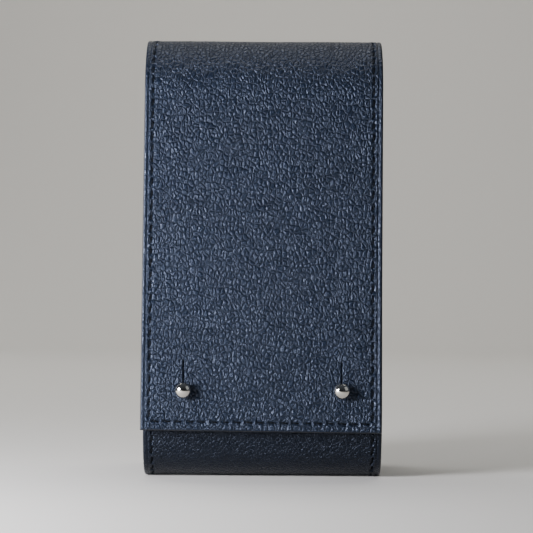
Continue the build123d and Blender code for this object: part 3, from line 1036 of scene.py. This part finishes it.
def bend_at_front(piece, path):
    """Bake a piece's placement into its mesh; the ends of the bend between the crown and the flap are found,
    but the piece is not made to bend.
    """
    start = path.place(0.0, path.at["front_shoulder"])
    end = path.place(0.0, path.at["flap"] + 1 * MM)
    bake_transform(piece)


def raise_grain(piece, name, cell, depth, flat, material):
    """Raise the grain of a leather piece in its mesh."""
    tree = grain_tree(name, cell, flat)
    apply_tree(piece, tree, {"Relief": depth, "Leather": material})


# ---------------------------------------------------------------- operators


class DICECUP_OT_front_panel(bpy.types.Operator):
    """Build the front panel, from its top edge to the middle of the base"""

    bl_idname = "dicecup.front_panel"
    bl_label = "Front Panel"

    def execute(self, context):
        sizes, grain, skins = context.scene.cup_sizes, context.scene.cup_grain, material_set()
        path = Profile(sizes)
        width = float(half_width(path, 0.0))
        # the grid is coarser where the flap covers the panel
        shown = path.mouth_rise - 18 * MM
        hidden = steps(0.0, shown, 0.62 * MM, (), (True, False), sizes.edge_round)
        seen = steps(shown, path.base_middle, 0.4 * MM, (), (False, False))
        piece = strip_sheet(
            "front_panel",
            np.concatenate([hidden, seen[1:]]),
            steps(-width, width, 0.4 * MM, edge=sizes.edge_round),
            0.0,
            sizes.leather,
            (True, False),
            [skins["fine_grain_calf"], skins["edge_paint"], skins["cup_lining_suede"]],
            seam_set(path)["front"],
        )
        raise_grain(piece, "body_grain", grain.fine_cell, grain.fine_depth, True, skins["fine_grain_calf"])
        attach(piece, "cup")
        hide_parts("body_leather")
        return {"FINISHED"}


class DICECUP_OT_back_panel(bpy.types.Operator):
    """Build the back panel, from the middle of the base up and over to the middle of the crown"""

    bl_idname = "dicecup.back_panel"
    bl_label = "Back Panel"

    def execute(self, context):
        sizes, grain, skins = context.scene.cup_sizes, context.scene.cup_grain, material_set()
        path = Profile(sizes)
        width = float(half_width(path, path.at["crown"]))
        piece = strip_sheet(
            "back_panel",
            steps(path.base_middle, path.crown_middle, 0.42 * MM, (), (False, False)),
            steps(-width, width, 0.42 * MM, edge=sizes.edge_round),
            0.0,
            sizes.leather,
            (False, False),
            [skins["shrunken_calf"], skins["edge_paint"], skins["flap_lining_leather"]],
            seam_set(path)["back"],
        )
        raise_grain(piece, "back_grain", grain.cell, grain.depth, True, skins["shrunken_calf"])
        bend_at_back(piece, path)
        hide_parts("body_leather", "crown_leather")
        return {"FINISHED"}


class DICECUP_OT_flap(bpy.types.Operator):
    """Build the flap, from the middle of the crown to its lower edge, with its keyholes"""

    bl_idname = "dicecup.flap"
    bl_label = "Flap"

    def execute(self, context):
        sizes, grain, skins = context.scene.cup_sizes, context.scene.cup_grain, material_set()
        path = Profile(sizes)
        piece = strip_sheet(
            "flap",
            steps(path.crown_middle, path.at["end"], 0.38 * MM, (), (False, True), sizes.edge_round),
            keyhole_columns(path, 0.37 * MM),
            0.0,
            sizes.leather,
            (False, True),
            [skins["shrunken_calf"], skins["edge_paint"], skins["flap_lining_leather"]],
            seam_set(path)["flap"],
            keyholes=True,
        )
        raise_grain(piece, "flap_grain", grain.cell, grain.depth, True, skins["shrunken_calf"])
        bend_at_front(piece, path)
        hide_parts("crown_leather", "flap_leather")
        return {"FINISHED"}


def keyhole_columns(path, cell):
    """Grid lines across the flap, with one on each side of each slit."""
    studs = bpy.context.scene.cup_studs
    width = float(half_width(path, path.at["crown"]))
    middles, _ = keyhole_places(path)
    fine = [m + side * studs.slit / 2 for m in middles for side in (-1, 1)]
    return steps(-width, width, cell, fine, edge=bpy.context.scene.cup_sizes.edge_round)


class DICECUP_OT_linings(bpy.types.Operator):
    """Build the flap's lining and the cup's lining"""

    bl_idname = "dicecup.linings"
    bl_label = "Linings"

    def execute(self, context):
        sizes, skins = context.scene.cup_sizes, material_set()
        path = Profile(sizes)
        smooth = [skins["flap_lining_leather"], skins["edge_paint"], skins["flap_lining_leather"]]
        suede = [skins["cup_lining_suede"], skins["edge_paint"], skins["cup_lining_suede"]]
        near, far = sizes.leather, sizes.leather + sizes.lining
        wide = float(half_width(path, path.at["crown"]))
        shoulder = strip_sheet(
            "shoulder_lining_sheet",
            steps(path.back_mouth, path.crown_middle, 0.8 * MM, (), (False, False)),
            steps(-wide, wide, 1.0 * MM, edge=sizes.edge_round),
            near,
            far,
            (False, False),
            smooth,
            relief=False,
        )
        bend_at_back(shoulder, path)
        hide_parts("shoulder_lining", "crown_lining")
        flap = strip_sheet(
            "flap_lining_sheet",
            steps(path.crown_middle, path.at["end"], 0.8 * MM, (), (False, False)),
            keyhole_columns(path, 0.7 * MM),
            near,
            far,
            (False, False),
            smooth,
            keyholes=True,
            relief=False,
        )
        bend_at_front(flap, path)
        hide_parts("crown_lining", "flap_lining")
        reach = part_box("cup_lining")[1].x
        stack = sizes.leather + sizes.board
        rows = steps(0.0, path.back_mouth, 1.0 * MM, (), (True, True))
        cup = strip_sheet(
            "cup_lining_sheet",
            rows,
            steps(-reach, reach, 1.2 * MM, edge=sizes.edge_round),
            (stack - sizes.board * at_mouth(rows, sizes))[:, None],
            stack + sizes.lining,
            (False, False),
            suede,
            relief=False,
            across=reach,
        )
        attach(cup, "cup")
        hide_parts("cup_lining")
        return {"FINISHED"}


def at_mouth(rows, sizes):
    """1 at the mouth, where the lining meets the leather above the board's edge, falling to 0 below it."""
    down = np.minimum(rows - rows[0], rows[-1] - rows)
    return np.clip((sizes.board_margin + 0.5 * MM - down) / MM, 0, 1)


class DICECUP_OT_gussets(bpy.types.Operator):
    """Build both side gussets and their linings"""

    bl_idname = "dicecup.gussets"
    bl_label = "Gussets"

    def execute(self, context):
        sizes, grain, skins = context.scene.cup_sizes, context.scene.cup_grain, material_set()
        path = Profile(sizes)
        turn, leather, cell = sizes.gusset_turn, sizes.leather, grain.fine_cell
        for side, name in ((-1, "left"), (1, "right")):
            tip = abs(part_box(f"{name}_gusset")[side > 0].x)
            centre = tip - sizes.flange + turn
            outer = gusset_section(tip, centre, turn, leather + sizes.gusset)
            inner = gusset_section(tip, centre, turn + sizes.gusset, leather)
            piece = gusset_shell(
                f"{name}_gusset_leather",
                path,
                side,
                outer,
                inner,
                0.62 * MM,
                [skins["gusset_calf"], skins["edge_paint"], skins["cup_lining_suede"]],
                grain=True,
            )
            relief = f"{name}_gusset_grain"
            raise_grain(piece, relief, cell, grain.fine_depth, False, skins["gusset_calf"])
            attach(piece, "cup")
            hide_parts(f"{name}_gusset")
            inside = abs(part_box(f"{name}_gusset_lining")[side < 0].x)
            depth = np.array([0.0, 0.05 * MM]) + leather + sizes.board + sizes.lining
            lining = gusset_shell(
                f"{name}_gusset_lining_sheet",
                path,
                side,
                (np.full(2, inside + sizes.lining), depth),
                (np.full(2, inside), depth),
                1.2 * MM,
                [skins["cup_lining_suede"], skins["edge_paint"], skins["cup_lining_suede"]],
            )
            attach(lining, "cup")
            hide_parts(f"{name}_gusset_lining")
        return {"FINISHED"}


def gusset_section(tip, centre, radius, depth):
    """Half of a gusset's section: in along its flange from the tip, then a quarter turn into its face."""
    flange = np.linspace(tip, centre, 12)
    bend = np.linspace(0, math.pi / 2, 9)[1:]
    x = np.concatenate([flange, centre - radius * np.sin(bend)])
    return x, np.concatenate([np.full_like(flange, depth), depth + radius * (1 - np.cos(bend))])


def gusset_shell(name, path, side, outer, inner, cell, skins, grain=False):
    """A gusset or its lining: a section swept round the cup's U, its face closed along the middle line."""
    sizes = bpy.context.scene.cup_sizes
    half = path.base_middle
    # below the bend's top, the rows of the face fan down to a pole on the middle line
    face_width, drawn_in = 20 * MM, 0.5 * MM
    bend_top, pole = 42 * MM, 22 * MM
    front = steps(0.0, half, cell, (), (True, False))
    rows = np.concatenate([front, 2 * half - front[-2::-1]])
    turn = len(front) - 1
    lead = len(outer[0])
    face_steps = max(4, round(face_width / cell))
    columns = lead + face_steps

    def surface(xs, depths):
        points = np.zeros((len(rows), columns, 3))
        for c in range(lead):
            y, z = path.points(rows, depths[c])
            points[:, c] = np.stack([np.full_like(y, side * xs[c]), y, z], axis=1)
        rim_y, rim_z = points[:, lead - 1, 1], points[:, lead - 1, 2]
        foot = rim_z.min()
        fanned = pole + (bend_top - pole) * (rim_z - foot) / (bend_top - foot)
        middle = np.where(rim_z > bend_top, rim_z, fanned)
        for k in range(1, face_steps + 1):
            t = k / face_steps
            y, z = rim_y * (1 - t), rim_z * (1 - t) + middle * t
            points[:, lead - 1 + k] = np.stack([np.full_like(y, side * xs[-1]), y, z], axis=1)
        return points

    skin, back = surface(*outer), surface(*inner)
    # pair the middle line's points front to back, and gather those over the level base in one pole
    number = np.arange(len(rows) * columns).reshape(len(rows), columns)
    level = np.flatnonzero(np.abs(skin[:, -1, 2] - skin[turn, -1, 2]) < 1e-6)
    last = np.minimum(np.arange(len(rows)), len(rows) - 1 - np.arange(len(rows)))
    last[last >= level[0]] = level[0]
    number[:, -1] = number[last, columns - 1]
    # the face is drawn in a little by its stitching, most along the middle
    across = np.zeros(columns)
    across[lead:] = np.linspace(1 / face_steps, 1, face_steps)
    drawn = side * drawn_in * ease(across)
    if grain:
        skin[:, :, 0] -= drawn
        back[:, :, 0] -= drawn
    else:
        skin[:, :, 0] += np.outer(at_mouth(rows, sizes), side * sizes.board - drawn)
    a, b = number[:-1, :-1].ravel(), number[1:, :-1].ravel()
    c, d = number[1:, 1:].ravel(), number[:-1, 1:].ravel()
    quads = np.stack([a, b, c, d], axis=1)
    weights = np.ones((len(rows), columns))
    weights[:, 0] = 0
    weights[[0, -1], :] = 0
    uvs = np.stack([skin[:, :, 1].ravel(), skin[:, :, 2].ravel()], axis=1)
    worked = weights.ravel() if grain else None
    return make_shell(name, skin.reshape(-1, 3), back.reshape(-1, 3), quads, skins, uvs, grain=worked)


class DICECUP_OT_stitching(bpy.types.Operator):
    """Sew every seam: two down the sides, one along the mouth and one round the flap"""

    bl_idname = "dicecup.stitching"
    bl_label = "Stitching"

    def execute(self, context):
        path, skins = Profile(context.scene.cup_sizes), material_set()
        groups = seam_set(path)
        front = sew("front_stitches", path, groups["front"], skins["waxed_thread"])
        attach(front, "cup")
        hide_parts("mouth_seam", "left_body_seam", "right_body_seam")
        back = sew("back_stitches", path, groups["back"], skins["waxed_thread"])
        bend_at_back(back, path)
        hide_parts("left_body_seam", "right_body_seam", "left_crown_seam", "right_crown_seam")
        flap = sew("flap_stitches", path, groups["flap"], skins["waxed_thread"])
        bend_at_front(flap, path)
        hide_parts("left_crown_seam", "right_crown_seam", "flap_seam")
        return {"FINISHED"}


def sew(name, path, group, material):
    """One mesh with a stitch at each place of a group of seams."""
    seams = bpy.context.scene.cup_seams
    u = np.concatenate([seam.stitch_u for seam in group])
    v = np.concatenate([seam.stitch_v for seam in group])
    angle = np.concatenate([seam.angle for seam in group])
    points = path.place(u, v, -seams.sink)
    across = np.array([1.0, 0.0, 0.0])
    run = np.cos(angle)[:, None] * across - np.sin(angle)[:, None] * path.tangent(v)
    attributes = {"run": run, "face": path.normal(v)}
    piece = make_object(name, points, [], [material], attributes=attributes)
    values = {
        "Stitch Length": seams.length,
        "Thread": seams.thread,
        "Bury": seams.bury,
        "Seed": seams.seed,
        "Waxed Thread": material,
    }
    apply_tree(piece, stitch_tree(), values)
    return piece


class DICECUP_OT_studs(bpy.types.Operator):
    """Build both ball studs"""

    bl_idname = "dicecup.studs"
    bl_label = "Studs"

    def execute(self, context):
        sizes, studs, skins = context.scene.cup_sizes, context.scene.cup_studs, material_set()
        path = Profile(sizes)
        stand = sizes.flap_gap + sizes.lining + sizes.leather
        v = np.array([path.at["end"] - studs.margin])
        outward = path.normal(v)[0]
        y, z = path.points(v, stand)
        for name in ("left", "right"):
            low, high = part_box(f"{name}_stud")
            centre = np.array([(low.x + high.x) / 2, y[0], z[0]])
            outline = stud_outline(studs, head_place(studs, low.y - centre[1], outward))
            piece = lathe(f"{name}_ball_stud", outline, centre, outward, 64, skins["polished_nickel"])
            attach(piece, "cup")
            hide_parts(f"{name}_stud")
        return {"FINISHED"}


def head_outline(studs, count=22):
    """Radius and height of the head's outline about its own middle, from its face to its underside."""
    inset = studs.head / 2 - studs.rim
    turn = math.asin(inset / (studs.face - studs.rim))
    lift = math.sqrt((studs.face - studs.rim) ** 2 - inset**2)
    outline = []
    for angle in np.linspace(0, math.pi / 2, count):
        radius, centre, height = (studs.face, 0.0, -lift) if angle < turn else (studs.rim, inset, 0.0)
        outline.append((centre + radius * math.sin(angle), height + radius * math.cos(angle)))
    return outline + [(r, -h) for r, h in outline[-2::-1]]


def head_place(studs, forward, outward):
    """Height of the head's middle on the stud's axis, from how far forward the stud reaches."""
    tilt = math.hypot(outward[0], outward[2])
    reach = max(r * tilt + h * -outward[1] for r, h in head_outline(studs, 90))
    return (-forward - reach) / -outward[1]


def stud_outline(studs, height):
    """Radius and height of the whole stud's outline, from under its collar to its face."""
    neck, rim = studs.neck / 2, studs.collar / 2
    bevel, fillet, fillet_middle = 0.12 * MM, 0.45 * MM, (0.1 * MM, 0.12 * MM)
    foot = -studs.collar_depth
    outline = [(0.0, foot), (rim - bevel, foot), (rim, bevel + foot), (rim, -bevel), (rim - bevel, 0.0)]
    outline += [(neck + fillet, 0.0), (neck + fillet_middle[0], fillet_middle[1]), (neck, fillet)]
    head = [(r, height + h) for r, h in head_outline(studs)[::-1]]
    return outline + [(neck, head_under(head, neck))] + [p for p in head if p[0] > neck or p[1] > height]


def head_under(head, radius):
    """Height at which the head's underside has this radius."""
    below = head[: len(head) // 2]
    return float(np.interp(radius, [r for r, _ in below], [h for _, h in below]))


def lathe(name, outline, origin, axis, sides, material):
    """A turned piece: an outline of radii and heights, spun about an axis."""
    axis = np.asarray(axis, float)
    across = np.array([1.0, 0.0, 0.0])
    other = np.cross(axis, across)
    angles = np.arange(sides) * 2 * math.pi / sides
    ring = np.cos(angles)[:, None] * across + np.sin(angles)[:, None] * other
    middle = outline[1:-1]
    vertices = [origin + axis * outline[0][1]]
    for radius, height in middle:
        vertices.extend(origin + axis * height + radius * ring)
    vertices.append(origin + axis * outline[-1][1])
    last = len(vertices) - 1
    faces = []
    for k in range(sides):
        n = (k + 1) % sides
        faces.append((0, 1 + n, 1 + k))
        faces.append((last, last - sides + k, last - sides + n))
        for r in range(len(middle) - 1):
            a, b = 1 + r * sides, 1 + (r + 1) * sides
            faces.append((a + k, a + n, b + n, b + k))
    return make_object(name, vertices, faces, [material], sharp=40)


class DICECUP_OT_hidden_parts(bpy.types.Operator):
    """Give the boards and screws inside the cup their finishes"""

    bl_idname = "dicecup.hidden_parts"
    bl_label = "Boards and Screws"

    def execute(self, context):
        skins = material_set()
        finishes = {
            "body_board": "bonded_board",
            "left_gusset_board": "bonded_board",
            "right_gusset_board": "bonded_board",
            "left_stud_screw": "turned_steel",
            "right_stud_screw": "turned_steel",
        }
        for node, finish in finishes.items():
            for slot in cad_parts[node].material_slots:
                slot.material = skins[finish]
        return {"FINISHED"}


class DICECUP_OT_stage(bpy.types.Operator):
    """Set up the floor, the lights and the camera"""

    bl_idname = "dicecup.stage"
    bl_label = "Stage"

    def execute(self, context):
        build_floor()
        build_lights()
        build_camera()
        return {"FINISHED"}


def build_floor():
    """A pale sweep: a level floor that curves up behind the cup."""
    finish = bpy.context.scene.cup_finishes
    turn = np.linspace(0, math.pi / 2, 24)
    radius, back, reach = 0.5, 0.9, 3.0
    y = np.concatenate([[-reach], back + radius * np.sin(turn), [back + radius]])
    z = np.concatenate([[0.0], radius - radius * np.cos(turn), [reach]])
    vertices = [(x, a, b) for a, b in zip(y, z) for x in (-reach, reach)]
    faces = [(2 * i, 2 * i + 1, 2 * i + 3, 2 * i + 2) for i in range(len(y) - 1)]
    # matt background paper with a slight tooth
    material, tree = new_material("studio_paper")
    place = add(tree, "ShaderNodeTexCoord").outputs["Object"]
    tooth = add(tree, "ShaderNodeTexNoise", {"Vector": place, "Scale": 1 / (1.1 * MM), "Detail": 4.0})
    bump = add(tree, "ShaderNodeBump", {"Height": tooth, "Strength": 0.1, "Distance": 0.1 * MM})
    look = {"Base Color": rgba(finish.floor), "Roughness": 0.9, "Normal": bump}
    close_material(material, look)
    make_object("studio_sweep", vertices, faces, [material])


def area_light(name, place, target, size, watts, tint):
    """A square soft light aimed at a point."""
    data = bpy.data.lights.new(name, "AREA")
    data.shape = "SQUARE"
    data.size = size
    data.energy = watts
    data.color = tint
    lamp = bpy.data.objects.new(name, data)
    lamp.location = place
    lamp.rotation_mode = "QUATERNION"
    lamp.rotation_quaternion = (Vector(target) - Vector(place)).to_track_quat("-Z", "Y")
    bpy.context.scene.collection.objects.link(lamp)
    return lamp


def build_lights():
    """A soft key low on the left, weak lamps to the right and behind, one on the backdrop, and a dim room."""
    target = (0.0, 0.0, 0.08)
    area_light("key", (-0.28, -0.24, 0.12), target, 0.13, 3.8, (0.89, 0.91, 1.0))
    area_light("fill", (0.9, -0.5, 0.6), target, 0.8, 0.8, (0.9, 0.95, 1.0))
    area_light("back", (-0.8, 0.7, 0.45), target, 0.5, 2.2, (0.95, 0.97, 1.0))
    area_light("backdrop", (0.0, 0.4, 1.1), (0.0, 1.2, 0.1), 0.9, 10.0, (1.0, 1.0, 1.0))
    world = bpy.data.worlds.new("studio")
    bpy.context.scene.world = world
    world.use_nodes = True
    tree = world.node_tree
    place = add(tree, "ShaderNodeTexCoord").outputs["Generated"]
    parts = add(tree, "ShaderNodeSeparateXYZ", {0: place})
    # the room is brighter overhead and behind the cup than behind the viewer
    rise, depth, strength = 0.4, 0.35, 0.14
    overhead = {0: parts.outputs["Z"], 1: rise, 2: 0.45}
    dim = add(tree, "ShaderNodeMath", overhead, operation="MULTIPLY_ADD", use_clamp=True)
    behind = {0: parts.outputs["Y"], 1: depth, 2: dim}
    room = add(tree, "ShaderNodeMath", behind, operation="MULTIPLY_ADD", use_clamp=True)
    level = add(tree, "ShaderNodeMath", {0: room, 1: strength}, operation="MULTIPLY")
    background = tree.nodes["Background"]
    background.inputs["Color"].default_value = (0.75, 0.85, 1.0, 1.0)
    tree.links.new(level.outputs[0], background.inputs["Strength"])


def build_camera():
    """A long lens, level with the middle of the cup and held a touch askew."""
    distance, height, aside = 625 * MM, 71 * MM, 1.06 * MM
    roll = math.radians(-0.35)
    data = bpy.data.cameras.new("camera")
    data.lens = 127.5
    data.sensor_width = 36.0
    camera = bpy.data.objects.new("camera", data)
    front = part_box("flap_leather")[0].y
    camera.location = (aside, front - distance, height)
    camera.rotation_euler = (math.pi / 2, roll, 0.0)
    bpy.context.scene.collection.objects.link(camera)
    bpy.context.scene.camera = camera


class DICECUP_PT_panel(bpy.types.Panel):
    """Lists the cup's pieces in the sidebar"""

    bl_idname = "DICECUP_PT_panel"
    bl_label = "Travel Dice Cup"
    bl_space_type = "VIEW_3D"
    bl_region_type = "UI"
    bl_category = "Dice Cup"

    def draw(self, context):
        for operator in OPERATORS:
            self.layout.operator(operator.bl_idname)


OPERATORS = (
    DICECUP_OT_front_panel,
    DICECUP_OT_back_panel,
    DICECUP_OT_flap,
    DICECUP_OT_gussets,
    DICECUP_OT_linings,
    DICECUP_OT_stitching,
    DICECUP_OT_studs,
    DICECUP_OT_hidden_parts,
    DICECUP_OT_stage,
)
GROUPS = {
    "cup_sizes": CupSizes,
    "cup_grain": GrainSizes,
    "cup_seams": SeamSizes,
    "cup_studs": StudSizes,
    "cup_finishes": Finishes,
}


def register():
    """Register every class and give the scene its settings."""
    for cls in (*GROUPS.values(), *OPERATORS, DICECUP_PT_panel):
        bpy.utils.register_class(cls)
    for name, cls in GROUPS.items():
        setattr(bpy.types.Scene, name, bpy.props.PointerProperty(type=cls))


def unregister():
    """Take the settings and the classes away again."""
    for name in GROUPS:
        delattr(bpy.types.Scene, name)
    for cls in (DICECUP_PT_panel, *reversed(OPERATORS), *reversed(GROUPS.values())):
        bpy.utils.unregister_class(cls)


def main():
    """Build the whole cup."""
    register()
    for operator in OPERATORS:
        group, name = operator.bl_idname.split(".")
        getattr(getattr(bpy.ops, group), name)()


if __name__ == "__main__":
    main()
